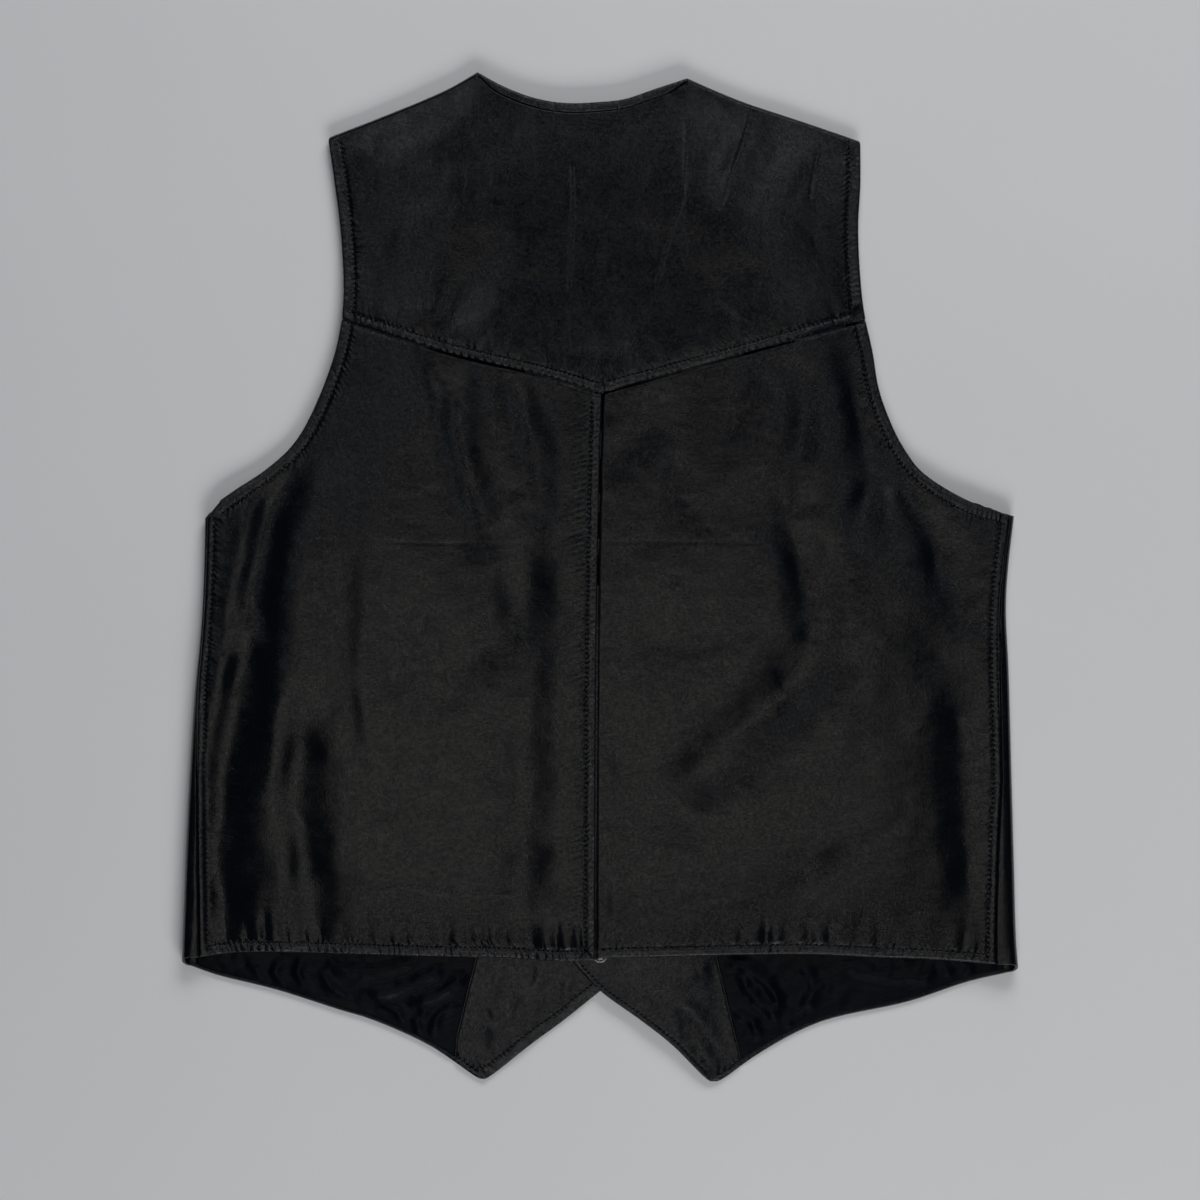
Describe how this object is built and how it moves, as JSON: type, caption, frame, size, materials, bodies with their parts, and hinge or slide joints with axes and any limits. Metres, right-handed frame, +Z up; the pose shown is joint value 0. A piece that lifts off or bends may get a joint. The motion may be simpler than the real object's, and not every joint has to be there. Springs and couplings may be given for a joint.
{
  "type": "leather vest",
  "caption": "Black leather vest laid flat, back up: pointed back yoke, centre back seam, lined fronts with pointed hems closed by snaps, open neck, armholes and hem.",
  "frame": {"origin": "on the floor under the middle of the vest's outline, where the fronts rest", "axes": "+Z up through the layers towards the back face, +Y towards the neck, +X towards the wearer's right side"},
  "size_m": [0.5781, 0.6996, 0.0186],
  "materials": {
    "black_leather": "semi-gloss black garment leather, fine grain",
    "facing_leather": "dull black leather, creased",
    "lining_satin": "blue-black satin",
    "snap_metal": "polished nickel"
  },
  "bodies": {
    "root": {"back_yoke": "black_leather", "back_left": "black_leather", "back_right": "black_leather", "front_left": "black_leather", "front_right": "black_leather", "front_facing_left": "facing_leather", "front_facing_right": "facing_leather", "front_lining_left": "lining_satin", "front_lining_right": "lining_satin", "neck_facing_left": "black_leather", "neck_facing_centre": "black_leather", "neck_facing_right": "black_leather", "snap_1": "snap_metal", "snap_2": "snap_metal", "snap_3": "snap_metal", "snap_4": "snap_metal"}
  },
  "joints": []
}
